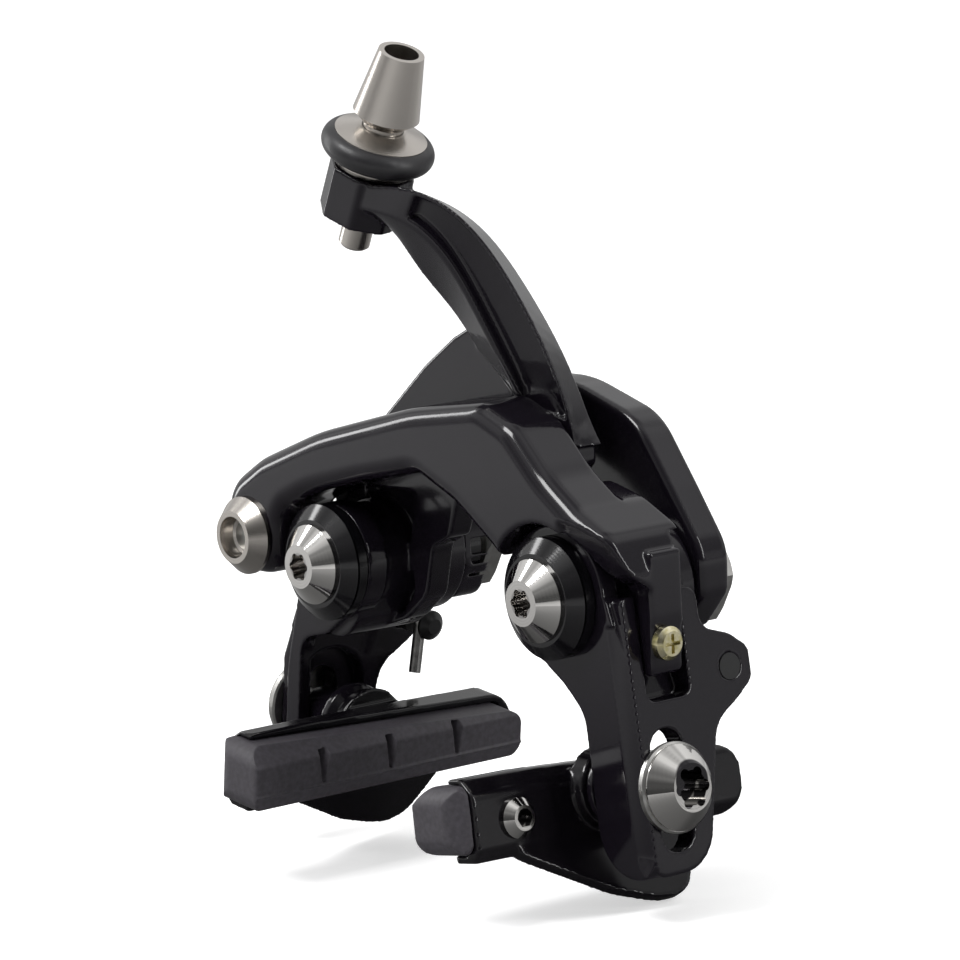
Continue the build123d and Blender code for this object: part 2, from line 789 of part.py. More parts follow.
def roller_track(arc_end):
    """Centres that the roller passes, as the adjuster arm sees them while the brake closes."""
    centres = []
    for angle in (0, arc_end / 2, arc_end):
        x, z = ROLLER_X, ROLLER_Z
        cosine, sine = math.cos(math.radians(angle)), math.sin(math.radians(angle))
        for side in (RIGHT, LEFT):
            x, z = x - side * PIVOT_X, z
            x, z = x * cosine + z * sine + side * PIVOT_X, z * cosine - x * sine
        centres.append((x, z))
    return ThreePointArc(*centres)


def cam_space():
    """Space in the web for the roller, bounded by the face that it pushes."""
    track = roller_track(TRAVEL_ANGLE)
    cam_r = track.radius + ROLLER_R + ROLLER_GAP
    centre = track.arc_center
    swept = Pos(ROLLER_X + 5.0, (WEB_FRONT + WEB_BACK) / 2, ROLLER_Z - 4.0) * Box(17.0, 8.0, 22.0)
    return disc(centre.X, centre.Y, cam_r, WEB_FRONT - 1, WEB_BACK + 1) & swept


def make_left_leg():
    """Leg of the adjuster arm, closed, drawn on the right and mirrored later."""
    flange = slab([
        (PIVOT_X - 8.6, -4.5, 2.0),
        (PIVOT_X + 1.0, -12.8, 4.0),
        (LEFT_WALL_X, -15.2, 4.0),
        (LEFT_WALL_X, LEG_BOTTOM, 4.0),
        (LEG_FACE_X - 0.8, LEG_BOTTOM, 2.0),
        (LEG_FACE_X - 1.4, -29.0, 20.0),
        (PIVOT_X + 8.4, -4.6, 12.0),
        (PIVOT_X + 8.0, 2.0, 3.0),
        (PIVOT_X, 3.0, 1.0),
    ], arm_front, arm_front + FLANGE_THICKNESS)
    shoulder = slab([
        (PIVOT_X - 8.0, -6.0, 5.0),
        (PIVOT_X - 3.0, -12.6, 5.0),
        (LEG_FACE_X - 1, -14.6, 1.0),
        (LEG_FACE_X - 2.4, -10.0, 4.0),
        (PIVOT_X + 8.0, -2.0, 8.0),
        (PIVOT_X, 3.0, 1.0),
    ], arm_front + 1, LEG_BACK)
    plate = make_leg_plate(LEFT_WALL_X)
    plate -= Pos(LEG_FACE_X, 15, 2 - 6.5) * Box(20, 40, 13)
    plate -= washer_recess()
    outer_corner = slab([
        (LEG_FACE_X + 3.0, -20.0, 0.5),
        (LEG_FACE_X, -20.0, 0.5),
        (PIVOT_X + 9.4, -7.5, 8.0),
        (PIVOT_X + 8.6, 4.0, 0.5),
        (LEG_FACE_X + 3.0, 4.0, 0.5),
    ], 0, LEG_BACK - 1.7)
    leg = plate + flange + shoulder - outer_corner
    leg -= edge_strip()
    leg -= shoe_slot()
    leg -= ear_hole()
    return leg


def make_adjuster_arm():
    tall = make_tall_arm() - make_arm_pocket()
    leg = mirror(make_left_leg(), about=Plane.YZ)
    arm = tall + make_adjuster_boss() + make_left_web() + make_left_hub() + swing_open(leg, LEFT)
    arm -= cam_space()
    arm -= disc(-PIVOT_X, 0, arm_bore_r, 0, STACK_DEPTH)
    arm -= at_pivot(cup_cavity(), LEFT)
    arm -= mirror(at_pivot(spring_exit(), RIGHT), about=Plane.YZ)
    arm -= on_adjuster(Pos(0, 0, -BOSS_TOP - 6) * Cylinder(STEM_R + EASY_GAP, 30))
    return arm


def make_anchor_arm():
    beam = slab([
        (ANCHOR_X - ANCHOR_BOSS_R + 1.0, ANCHOR_Z - 6.5, 6.5),
        (ANCHOR_X + ANCHOR_BOSS_R - 0.6, ANCHOR_Z - 6.5, 5.5),
        (ANCHOR_X + 8.5, 7.6, 6.0),
        (ANCHOR_X + 16.8, 11.2, 30.0),
        (-16.7, 14.3, 30.0),
        (-2.4, 17.0, 6.0),
        (7.0, 12.9, 8.0),
        (15.5, 7.0, 4.0),
        (PIVOT_X - 4.0, 0.0, 4.0),
        (PIVOT_X + 2.0, -2.0, 3.0),
        (TONGUE_FACE_X, -2.0, 1.0),
        (TONGUE_FACE_X, 5.0, 5.0),
        (PIVOT_X + 15.0, 11.0, 5.0),
        (PIVOT_X + 7.9, 14.6, 12.0),
        (PIVOT_X + 1.3, 19.2, 25.0),
        (PIVOT_X - 6.1, 26.6, 8.0),
        (14.5, 29.6, 7.0),
        (-4.2, 27.2, 60.0),
        (-28.5, 21.4, 60.0),
        (ANCHOR_X + 3.0, 15.9, 18.0),
        (ANCHOR_X - 6.3, 10.5, 8.0),
    ], BEAM_FRONT, BEAM_BACK)
    front_edges = beam.faces().sort_by(Axis.Y)[0].outer_wire().edges()
    beam = fillet(front_edges, 3.0)
    hub = disc(PIVOT_X, 0, HUB_R_ANCHOR, hub_front, hub_back)
    wall = slab([
        (PIVOT_X - 10.0, 2.0, 6.0),
        (PIVOT_X - 10.0, 8.0, 5.0),
        (PIVOT_X - 6.5, 13.6, 3.0),
        (PIVOT_X - 1.0, 17.0, 6.0),
        (PIVOT_X + 7.9, 14.6, 12.0),
        (PIVOT_X + 15.0, 11.0, 5.0),
        (TONGUE_FACE_X, 5.0, 5.0),
        (TONGUE_FACE_X, -2.0, 4.0),
        (TONGUE_FACE_X - TONGUE_WALL, -2.0, 1.0),
        (TONGUE_FACE_X - TONGUE_WALL, 3.4, 4.0),
        (PIVOT_X + 8.0, 3.4, 3.0),
        (PIVOT_X, -6.0, 2.0),
    ], hub_front, hub_back)
    front_end = side_slab([
        (-2.0, 15.0, 0.5),
        (BEAM_FRONT + 0.4, 12.6, 3.0),
        (4.6, 5.0, 6.0),
        (TONGUE_FRONT + 0.2, 2.2, 2.0),
        (TONGUE_FRONT + 0.2, -14.0, 0.5),
        (-2.0, -14.0, 0.5),
    ], PIVOT_X + 5.0, TONGUE_FACE_X + 5.0)
    wall -= front_end
    wall -= Pos(PIVOT_X + 16.0, TONGUE_BACK + 5.0, 0.3) * Box(10.0, 10.0, 20.0)
    tongue = slab([
        (TONGUE_FACE_X - TONGUE_WALL, 8.0, 0.5),
        (TONGUE_FACE_X, 8.0, 0.5),
        (TONGUE_FACE_X, -2.0, 6.0),
        (TONGUE_FACE_X - 0.6, TONGUE_FOOT, 1.4),
        (TONGUE_FACE_X - TONGUE_WALL, TONGUE_FOOT, 1.4),
    ], TONGUE_FRONT, TONGUE_BACK)
    beam -= front_end
    arm = beam - disc(PIVOT_X, 0, HUB_SPACE_R + 0.4, 0, hub_front)
    arm -= disc(PIVOT_X, 0, HUB_SPACE_R + 0.4, hub_front - 0.01, STACK_DEPTH)
    arm += hub
    arm += wall
    arm += tongue
    arm -= disc(PIVOT_X, 0, arm_bore_r, 0, STACK_DEPTH)
    arm -= disc(ANCHOR_X, ANCHOR_Z, ANCHOR_BOLT_R + EASY_GAP, 0, STACK_DEPTH)
    hole_r = SCREW_R + RUNNING_FIT
    hole_start = TONGUE_FACE_X - TONGUE_WALL - 1
    screw_hole = turned_x([
        (0, hole_start),
        (hole_r, hole_start),
        (hole_r, TONGUE_FACE_X),
        (0, TONGUE_FACE_X),
    ])
    arm -= disc(ROLLER_X, ROLLER_Z, ROLLER_PIN_R, ROLLER_FRONT - 4.0, ROLLER_FRONT)
    return arm - Pos(0, SCREW_Y, SCREW_Z) * screw_hole


def make_anchor_nut():
    nut = turned([
        (ANCHOR_BOLT_R + RUNNING_FIT, BEAM_FRONT),
        (ANCHOR_NUT_R, BEAM_FRONT),
        (ANCHOR_NUT_R, BEAM_FRONT - 0.6),
        (ANCHOR_NUT_FACE_R, BEAM_FRONT - 0.6 - ANCHOR_NUT_HEIGHT),
        (ANCHOR_BORE_R, BEAM_FRONT - 0.6 - ANCHOR_NUT_HEIGHT),
        (ANCHOR_BORE_R - 0.4, BEAM_FRONT - 0.6),
        (ANCHOR_BOLT_R + RUNNING_FIT, BEAM_FRONT - 0.3),
    ])
    return Pos(ANCHOR_X, 0, ANCHOR_Z) * nut


def make_anchor_washer():
    washer = turned([
        (ANCHOR_BOLT_R + RUNNING_FIT, BEAM_BACK),
        (ANCHOR_WASHER_R, BEAM_BACK),
        (ANCHOR_WASHER_R, BEAM_BACK + ANCHOR_WASHER_THICKNESS),
        (ANCHOR_BOLT_R + RUNNING_FIT, BEAM_BACK + ANCHOR_WASHER_THICKNESS),
    ])
    return Pos(ANCHOR_X, 0, ANCHOR_Z) * washer


def make_anchor_bolt():
    seat = BEAM_BACK + ANCHOR_WASHER_THICKNESS
    bolt = turned([
        (0, BEAM_FRONT - 0.4),
        (ANCHOR_BOLT_R, BEAM_FRONT - 0.4),
        (ANCHOR_BOLT_R, seat),
        (ANCHOR_HEAD_R, seat),
        (ANCHOR_HEAD_R, seat + ANCHOR_HEAD_HEIGHT - 0.8),
        (ANCHOR_HEAD_R - 0.8, seat + ANCHOR_HEAD_HEIGHT),
        (0, seat + ANCHOR_HEAD_HEIGHT),
    ])
    hexagon = Plane.XZ * RegularPolygon(ANCHOR_KEY_R, 6)
    key_depth = ANCHOR_HEAD_HEIGHT * 0.7
    key_floor = seat + ANCHOR_HEAD_HEIGHT - key_depth
    key = extrude(Pos(0, key_floor, 0) * hexagon, amount=key_depth, dir=(0, 1, 0))
    return Pos(ANCHOR_X, 0, ANCHOR_Z) * (bolt - key)


def make_link_roller():
    roller = turned([
        (ROLLER_PIN_R + RUNNING_FIT, ROLLER_FRONT),
        (ROLLER_R, ROLLER_FRONT),
        (ROLLER_R, ROLLER_BACK),
        (ROLLER_PIN_R + RUNNING_FIT, ROLLER_BACK),
    ])
    return Pos(ROLLER_X, 0, ROLLER_Z) * roller


def make_roller_pin():
    pin = turned([
        (0, ROLLER_FRONT - 4.0),
        (ROLLER_PIN_R, ROLLER_FRONT - 4.0),
        (ROLLER_PIN_R, ROLLER_BACK),
        (ROLLER_PIN_R + 0.7, ROLLER_BACK),
        (ROLLER_PIN_R + 0.7, ROLLER_BACK + 0.6),
        (0, ROLLER_BACK + 0.6),
    ])
    return Pos(ROLLER_X, 0, ROLLER_Z) * pin


def make_spring_holder(side):
    """Plastic pin in the leg's ear with a slit for the spring's end, closed, on the right."""
    plate_inside = LEG_FACE_X - LEG_WALL if side == RIGHT else LEFT_WALL_X
    pin = turned_x([
        (0, HOLDER_END_X),
        (HOLDER_KNOB_R - 1.2, HOLDER_END_X),
        (HOLDER_KNOB_R, HOLDER_END_X + 1.0),
        (HOLDER_KNOB_R, HOLDER_SLIT_X - HOLDER_SLIT / 2),
        (HOLDER_R, HOLDER_SLIT_X - HOLDER_SLIT / 2),
        (HOLDER_R, plate_inside),
        (EAR_PIN_R, plate_inside),
        (EAR_PIN_R, LEG_FACE_X),
        (0, LEG_FACE_X),
    ])
    slit_depth = HOLDER_KNOB_R + HOLDER_SLIT_BACK + 1.0
    slit_middle = HOLDER_SLIT_BACK - slit_depth / 2
    slit = Pos(HOLDER_SLIT_X, slit_middle, 0) * Box(HOLDER_SLIT, slit_depth, 8)
    return Pos(0, EAR_Y, EAR_Z) * (pin - slit)


def make_shoe_bolt():
    seat = LEG_FACE_X + SHOE_WASHER_THICKNESS
    face = seat + SHOE_HEAD_HEIGHT
    bolt = turned_x([
        (0, SHOE_BACK_X - 1.4),
        (SHOE_BOLT_R - 0.4, SHOE_BACK_X - 1.4),
        (SHOE_BOLT_R, SHOE_BACK_X - 1.0),
        (SHOE_BOLT_R, seat),
        (SHOE_HEAD_SEAT_R, seat),
        (SHOE_HEAD_SEAT_R, seat + 0.4),
        (SHOE_HEAD_FACE_R, face),
        (0, face),
    ])
    return bolt - star_socket_x(SHOE_SOCKET_R, SHOE_HEAD_HEIGHT * 0.85, face)


def make_shoe_washer():
    face = LEG_FACE_X + SHOE_WASHER_THICKNESS
    return turned_x([
        (SHOE_BOLT_R + RUNNING_FIT, LEG_FACE_X),
        (SHOE_WASHER_R - 0.3, LEG_FACE_X),
        (SHOE_WASHER_R, LEG_FACE_X + 0.3),
        (SHOE_WASHER_R, face - 0.3),
        (SHOE_WASHER_R - 0.3, face),
        (SHOE_BOLT_R + RUNNING_FIT, face),
    ])


def make_domed_washer():
    """Spacer between leg and shoe: a neck on the leg and a domed disc on the shoe."""
    return turned_x([
        (SHOE_BOLT_R + RUNNING_FIT, SHOE_BOSS_X),
        (DOME_R - 1.6, SHOE_BOSS_X),
        (DOME_R, SHOE_BOSS_X + 1.6),
        (DOME_R, DOME_BACK_X),
        (DOME_NECK_R, DOME_BACK_X),
        (DOME_NECK_R, LEG_FACE_X - LEG_WALL),
        (SHOE_BOLT_R + RUNNING_FIT, LEG_FACE_X - LEG_WALL),
    ])


def at_shoe(shape, side):
    """Moves a piece drawn on the X axis to the shoe bolt and opens it."""
    place = Pos(0, SLOT_Y, SHOE_BOLT_ZS[side])
    return swing_open(to_side(place * shape, side), side)


def at_pad(shape, side):
    """Places a piece of the shoe, drawn about the shoe bolt's axis, at its tilt."""
    return at_shoe(Rot(SHOE_TILTS[side], 0, 0) * shape, side)


def shoe_profile(side, proud, front, back, nose_r, tail_r):
    """Side view of a shoe piece, proud of the pad all round, its top falling to the rear."""
    top = PAD_TOP + proud
    bottom = PAD_BOTTOM - proud
    start = PAD_FRONTS[side]
    fall = PAD_TOP_FALL / PAD_LENGTH
    return side_slab([
        (front, top - fall * (front - start), nose_r),
        (back, top - fall * (back - start), tail_r),
        (back, bottom, tail_r),
        (front, bottom, nose_r),
    ], PAD_FACE_X - 5, SHOE_BACK_X + 5)


def make_brake_pad(side):
    """Rubber pad: a block held in the holder and a thicker nose in front of it."""
    front = PAD_FRONTS[side]
    back = front + PAD_LENGTH
    face_side = [
        (PAD_FACE_X + 0.9, PAD_BOTTOM + 0.6, 0.4),
        (PAD_FACE_X, PAD_PARTING - PAD_RIDGE, 0.1),
        (PAD_FACE_X - PAD_RIDGE, PAD_PARTING, 0.1),
        (PAD_FACE_X, PAD_PARTING + PAD_RIDGE, 0.1),
        (PAD_FACE_X, PAD_SHOULDER, 0.6),
        (PAD_FACE_X + PAD_BEVEL, PAD_TOP, 1.6),
    ]
    block = slab(face_side + [
        (PAD_BACK_X, PAD_TOP, 0.3),
        (PAD_BACK_X, PAD_BOTTOM, 0.3),
        (PAD_FACE_X + 2.2, PAD_BOTTOM, 0.4),
    ], front, back)
    nose = slab(face_side + [
        (SHOE_BACK_X - 0.6, PAD_TOP, 2.6),
        (SHOE_BACK_X - 0.6, PAD_BOTTOM, 2.6),
        (PAD_FACE_X + 2.2, PAD_BOTTOM, 0.4),
    ], front, front + HOLDER_SETBACK - EASY_GAP)
    pad = (block + nose) & shoe_profile(side, 0, front, back, PAD_NOSE_R, 2.6)
    plan = rounded([
        (PAD_FACE_X - 1.0, front, 1.8),
        (SHOE_BACK_X - 0.6, front, PAD_NOSE_R + 1.0),
        (SHOE_BACK_X - 0.6, back + 1.0, 0.5),
        (PAD_FACE_X - 1.0, back + 1.0, 0.5),
    ], Plane.XY)
    pad &= extrude(Pos(0, 0, PAD_BOTTOM - 1.0) * plan, amount=PAD_TOP - PAD_BOTTOM + 2.0)
    pitch = PAD_LENGTH / (PAD_GROOVES + 1)
    for index in range(PAD_GROOVES):
        place = front + pitch * (index + 1)
        sections = []
        for level, share in ((PAD_PARTING + PAD_RIDGE, 0.25), (PAD_SHOULDER + 0.9, 1.0)):
            half = GROOVE_WIDTH * share / 2
            floor = PAD_FACE_X + GROOVE_DEPTH * share
            sections.append(Pos(0, 0, level) * make_face(Polyline(
                (PAD_FACE_X - 1.0, place - half - 0.4),
                (PAD_FACE_X - 1.0, place + half + 0.4),
                (floor, place + 0.2),
                (floor, place - 0.2),
                close=True,
            )))
        pad -= loft(sections)
    return pad


def holder_outline():
    """Outside of the shoe holder in X and Z, from its inner top corner round the back."""
    top = PAD_TOP + HOLDER_LIP
    sole = PAD_BOTTOM - HOLDER_SOLE
    return [
        (PAD_BACK_X - HOLDER_HOOK, top, 0.4),
        (PAD_BACK_X, top, 1.5),
        (SHOE_BACK_X, PAD_TOP - 1.8, 2.4),
        (SHOE_BACK_X, sole + 1.8, 1.5),
        (SHOE_BACK_X - 1.2, sole, 0.8),
        (PAD_BACK_X - HOLDER_HOOK, sole, 0.4),
    ]


def make_pad_holder(side):
    front = PAD_FRONTS[side] + HOLDER_SETBACK
    back = front + HOLDER_LENGTH
    pad_end = PAD_FRONTS[side] + PAD_LENGTH + EASY_GAP
    holder = slab(holder_outline(), front, back) & shoe_profile(side, HOLDER_SOLE, front, back, 0.5, 5.0)
    pad_space = slab([
        (PAD_FACE_X - 4, PAD_BOTTOM - EASY_GAP, 0.1),
        (PAD_BACK_X + EASY_GAP, PAD_BOTTOM - EASY_GAP, 0.1),
        (PAD_BACK_X + EASY_GAP, PAD_TOP + EASY_GAP, 0.1),
        (PAD_FACE_X - 4, PAD_TOP + EASY_GAP, 0.1),
    ], front - 1, pad_end)
    holder -= pad_space & shoe_profile(side, EASY_GAP, front - 1, pad_end, 0.1, 2.0)
    deep = PAD_BOTTOM - HOLDER_SOLE - WING_DEPTH
    wing = side_slab([
        (-20.6, PAD_BOTTOM, 1.0),
        (-17.0, PAD_BOTTOM - HOLDER_SOLE - 1.0, 8.0),
        (-3.0, deep + 2.6, 20.0),
        (5.0, deep, 12.0),
        (11.0, deep, 5.0),
        (14.0, deep + 6.0, 6.0),
        (17.0, PAD_BOTTOM, 3.0),
    ], SHOE_BACK_X - WING_THICKNESS, SHOE_BACK_X)
    root = Pos(SHOE_BACK_X - WING_THICKNESS / 2, 0, PAD_BOTTOM)
    wing = root * Rot(0, -WING_FLARE, 0) * root.inverse() * wing
    boss = turned_x([
        (0, SHOE_BACK_X - 1),
        (DOME_R + 0.4, SHOE_BACK_X - 1),
        (DOME_R - 0.4, SHOE_BOSS_X),
        (0, SHOE_BOSS_X),
    ])
    holder += wing + boss
    holder -= turned_x([
        (0, SHOE_BACK_X - 1.5),
        (SHOE_BOLT_R + RUNNING_FIT, SHOE_BACK_X - 1.5),
        (SHOE_BOLT_R + RUNNING_FIT, LEG_FACE_X),
        (0, LEG_FACE_X),
    ])
    holder -= Pos(0, PAD_SCREW_Y, PAD_SCREW_Z) * turned_x([
        (0, PAD_BACK_X),
        (PAD_SCREW_R + RUNNING_FIT, PAD_BACK_X),
        (PAD_SCREW_R + RUNNING_FIT, SHOE_BACK_X + 1),
        (0, SHOE_BACK_X + 1),
    ])
    return holder


def make_pad_screw():
    head_face = SHOE_BACK_X + PAD_SCREW_HEAD_HEIGHT
    screw = turned_x([
        (0, PAD_BACK_X + EASY_GAP),
        (PAD_SCREW_R, PAD_BACK_X + EASY_GAP),
        (PAD_SCREW_R, SHOE_BACK_X),
        (PAD_SCREW_HEAD_R, SHOE_BACK_X),
        (PAD_SCREW_HEAD_R, SHOE_BACK_X + 0.6),
        (PAD_SCREW_HEAD_R - 1.2, head_face),
        (0, head_face),
    ])
    hexagon = Plane.YZ * RegularPolygon(PAD_SCREW_KEY_R, 6)
    key = extrude(
        Pos(head_face - PAD_SCREW_KEY_DEPTH, 0, 0) * hexagon, amount=PAD_SCREW_KEY_DEPTH, dir=(1, 0, 0)
    )
    return Pos(0, PAD_SCREW_Y, PAD_SCREW_Z) * (screw - key)


def make_centering_screw():
    face = TONGUE_FACE_X + SCREW_HEAD_HEIGHT
    screw = turned_x([
        (0, SCREW_TIP_X),
        (SCREW_R - 0.4, SCREW_TIP_X),
        (SCREW_R, SCREW_TIP_X + 0.4),
        (SCREW_R, TONGUE_FACE_X),
        (SCREW_HEAD_R, TONGUE_FACE_X),
        (SCREW_HEAD_R, face - 0.7),
        (SCREW_HEAD_R - 0.7, face),
        (0, face),
    ])
    arm_length = SCREW_HEAD_R * 1.15
    cross = Pos(face - 0.5, 0, 0) * (Box(1.0, arm_length, 0.6) + Box(1.0, 0.6, arm_length))
    return Pos(0, SCREW_Y, SCREW_Z) * (screw - cross)


pieces = {}
for side, side_name in SIDE_NAMES.items():
    pieces[f"mount_bolt_{side_name}"] = at_pivot(make_mount_bolt(), side)
    pieces[f"bolt_collar_{side_name}"] = at_pivot(make_collar(), side)
    pieces[f"pivot_bush_{side_name}"] = at_pivot(make_bush(), side)
    pieces[f"spacer_washer_{side_name}"] = at_pivot(make_spacer(), side)
    pieces[f"mount_nut_{side_name}"] = at_pivot(make_nut(), side)
    spring = to_side(make_return_spring(side), -side)
    pieces[f"return_spring_{side_name}"] = at_pivot(spring, side)
    pieces[f"spring_holder_{side_name}"] = swing_open(to_side(make_spring_holder(side), side), side)
    pieces[f"shoe_bolt_{side_name}"] = at_shoe(make_shoe_bolt(), side)
    pieces[f"shoe_washer_{side_name}"] = at_shoe(make_shoe_washer(), side)
    pieces[f"domed_washer_{side_name}"] = at_shoe(make_domed_washer(), side)
    pieces[f"brake_pad_{side_name}"] = at_pad(make_brake_pad(side), side)
    pieces[f"pad_holder_{side_name}"] = at_pad(make_pad_holder(side), side)
    pieces[f"pad_screw_{side_name}"] = at_pad(make_pad_screw(), side)
pieces["bridge_plate"] = make_bridge_plate()
pieces["right_leg"] = swing_open(make_right_leg(), RIGHT)
pieces["cable_stem"] = make_cable_stem()
pieces["adjuster_knob"] = make_adjuster_knob()
pieces["grip_ring"] = make_grip_ring()
pieces["adjuster_arm"] = make_adjuster_arm()
pieces["anchor_arm"] = make_anchor_arm()
pieces["anchor_nut"] = make_anchor_nut()
pieces["anchor_bolt"] = make_anchor_bolt()
pieces["anchor_washer"] = make_anchor_washer()
pieces["link_roller"] = make_link_roller()
pieces["roller_pin"] = make_roller_pin()
pieces["centering_screw"] = make_centering_screw()

for name, piece in pieces.items():
    export_step(Pos(0, -STACK_DEPTH, 0) * piece, f"parts/{name}.step")
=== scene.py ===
import json
import math

import bpy
from mathutils import Matrix, Vector

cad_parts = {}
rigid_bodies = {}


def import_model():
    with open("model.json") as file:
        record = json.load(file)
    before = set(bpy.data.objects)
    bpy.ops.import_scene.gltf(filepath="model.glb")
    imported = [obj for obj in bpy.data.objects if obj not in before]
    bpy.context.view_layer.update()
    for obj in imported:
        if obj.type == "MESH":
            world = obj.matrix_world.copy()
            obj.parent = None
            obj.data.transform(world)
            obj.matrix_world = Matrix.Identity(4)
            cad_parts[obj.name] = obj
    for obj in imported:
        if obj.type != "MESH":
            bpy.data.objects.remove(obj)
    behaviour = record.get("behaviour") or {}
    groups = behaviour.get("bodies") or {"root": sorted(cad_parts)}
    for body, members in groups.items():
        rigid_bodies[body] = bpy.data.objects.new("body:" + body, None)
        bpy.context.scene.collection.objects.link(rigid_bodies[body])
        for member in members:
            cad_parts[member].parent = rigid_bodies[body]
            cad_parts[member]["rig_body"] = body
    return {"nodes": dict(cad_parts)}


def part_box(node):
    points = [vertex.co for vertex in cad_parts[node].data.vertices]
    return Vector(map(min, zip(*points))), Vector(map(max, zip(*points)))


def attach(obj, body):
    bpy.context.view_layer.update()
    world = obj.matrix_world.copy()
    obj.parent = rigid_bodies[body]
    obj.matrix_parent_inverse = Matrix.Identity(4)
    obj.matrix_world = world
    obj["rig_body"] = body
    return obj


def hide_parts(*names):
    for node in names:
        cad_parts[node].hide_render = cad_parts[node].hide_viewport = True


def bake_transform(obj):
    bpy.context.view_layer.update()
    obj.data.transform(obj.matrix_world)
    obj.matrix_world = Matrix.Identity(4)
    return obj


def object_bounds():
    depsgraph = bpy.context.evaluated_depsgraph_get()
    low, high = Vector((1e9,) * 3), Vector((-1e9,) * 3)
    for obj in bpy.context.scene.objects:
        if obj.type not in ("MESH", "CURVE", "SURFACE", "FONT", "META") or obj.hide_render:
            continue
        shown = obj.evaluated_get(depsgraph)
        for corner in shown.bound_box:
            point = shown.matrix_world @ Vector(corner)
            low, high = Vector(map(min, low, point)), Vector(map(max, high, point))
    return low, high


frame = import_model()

# Direct mount rim brake caliper: gloss black forged arms on two polished bolts, in metres.
cad_box = [list(corner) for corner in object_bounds()]
MM = 0.001

BODY_OF = {node: piece["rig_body"] for node, piece in frame["nodes"].items()}
SIDES = ("left", "right")

# Camera, solved from the bolt spacing and the turned faces in the picture
IMAGE_PIXELS = 960
FOCAL_PIXELS = 4790.4
CAMERA_AZIMUTH = 50.712
CAMERA_ELEVATION = 8.762
CAMERA_ROLL = -2.754
CAMERA_DISTANCE = 0.75893
AIM_RIGHT = 9.35 * MM
AIM_UP = 16.17 * MM
BOLT_SEAT_Y = -34.0 * MM
SENSOR = 36.0

# Half the distance between the bolts
PIVOT_X = 28.0 * MM

# Swing of the legs at rest and lean of the adjuster's axis, in degrees
OPEN_ANGLE = 8
ADJUSTER_LEAN = 25.5

# Radii inside which polished bolts and screws get a painted shade for the inside of their driver socket
BOLT_SOCKET_R = 2.35 * MM
SHOE_SOCKET_R = 3.4 * MM
PAD_SCREW_SOCKET_R = 1.45 * MM

# Share of a socket's radius at which its painted shade begins to fade
SOCKET_SHADE_FADE = 0.93

# Sockets of Blender's Mix node that carry colours
MIX_FIRST, MIX_SECOND, MIX_RESULT = 6, 7, 2

# Scale of the turning rings times their pitch. They lie about three pitches apart, because
# real ones are too fine to show.
RING_SCALE = 0.1


def linear(hex_colour):
    """Linear colour from an sRGB hex string."""
    values = []
    for start in (1, 3, 5):
        share = int(hex_colour[start:start + 2], 16) / 255
        values.append(share / 12.92 if share <= 0.04045 else ((share + 0.055) / 1.055) ** 2.4)
    return (*values, 1.0)


def add_node(tree, kind, settings=None, **links):
    """Adds a node, sets its attributes and sockets, and links sockets to other nodes' outputs."""
    node = tree.nodes.new(kind)
    for name, value in (settings or {}).items():
        if hasattr(node, name):
            setattr(node, name, value)
        else:
            node.inputs[name].default_value = value
    for name, source in links.items():
        socket = node.inputs[int(name[1:])] if name[1:].isdigit() else node.inputs[name.replace("_", " ")]
        tree.links.new(source, socket)
    return node


def new_material(name, colour, settings):
    """A Principled material whose even values are set on the shader itself."""
    material = bpy.data.materials.new(name)
    material.use_nodes = True
    shader = material.node_tree.nodes["Principled BSDF"]
    shader.inputs["Base Color"].default_value = linear(colour)
    for socket, value in settings.items():
        shader.inputs[socket].default_value = value
    return material, material.node_tree, shader


def grain_bump(tree, shader, grain, height, detail=3.0):
    """Fine relief, grain across in metres and as deep as height."""
    point = add_node(tree, "ShaderNodeTexCoord").outputs["Object"]
    noise = add_node(tree, "ShaderNodeTexNoise", {"Scale": 1 / grain, "Detail": detail}, Vector=point)
    bump = add_node(
        tree, "ShaderNodeBump", {"Strength": 1.0, "Distance": height}, Height=noise.outputs["Fac"]
    )
    tree.links.new(bump.outputs["Normal"], shader.inputs["Normal"])


def roughness_spread(tree, shader, grain, low, high):
    """Roughness that wanders between two values over patches of a real size."""
    point = add_node(tree, "ShaderNodeTexCoord").outputs["Object"]
    noise = add_node(tree, "ShaderNodeTexNoise", {"Scale": 1 / grain, "Detail": 4.0}, Vector=point)
    spread = add_node(
        tree, "ShaderNodeMapRange", {"From Min": 0.3, "From Max": 0.7, "To Min": low, "To Max": high},
        Value=noise.outputs["Fac"],
    )
    tree.links.new(spread.outputs["Result"], shader.inputs["Roughness"])


def colour_spread(tree, shader, grain, first, second):
    """Base colour that wanders between two shades over patches of a real size."""
    point = add_node(tree, "ShaderNodeTexCoord").outputs["Object"]
    noise = add_node(tree, "ShaderNodeTexNoise", {"Scale": 1 / grain, "Detail": 5.0}, Vector=point)
    ramp = add_node(tree, "ShaderNodeValToRGB", {}, Fac=noise.outputs["Fac"])
    for stop, position, shade in zip(ramp.color_ramp.elements, (0.35, 0.65), (first, second)):
        stop.position = position
        stop.color = linear(shade)
    tree.links.new(ramp.outputs["Color"], shader.inputs["Base Color"])


def stoved_black_enamel():
    """Aluminium forging sprayed and stoved: deep black, glossy, with faint orange peel."""
    material, tree, shader = new_material("stoved_black_enamel_on_forging", "#120f15", {"IOR": 1.45})
    roughness_spread(tree, shader, 7 * MM, 0.09, 0.15)
    grain_bump(tree, shader, 2.2 * MM, 0.0022 * MM, 1.0)
    return material


def cast_holder_enamel():
    """The same enamel on the cast shoe holders, deeper in shade, with a finer peel."""
    material, tree, shader = new_material("black_enamel_on_cast_holder", "#0c0a0e", {"IOR": 1.45})
    roughness_spread(tree, shader, 4 * MM, 0.1, 0.18)
    grain_bump(tree, shader, 1.4 * MM, 0.003 * MM, 1.0)
    return material


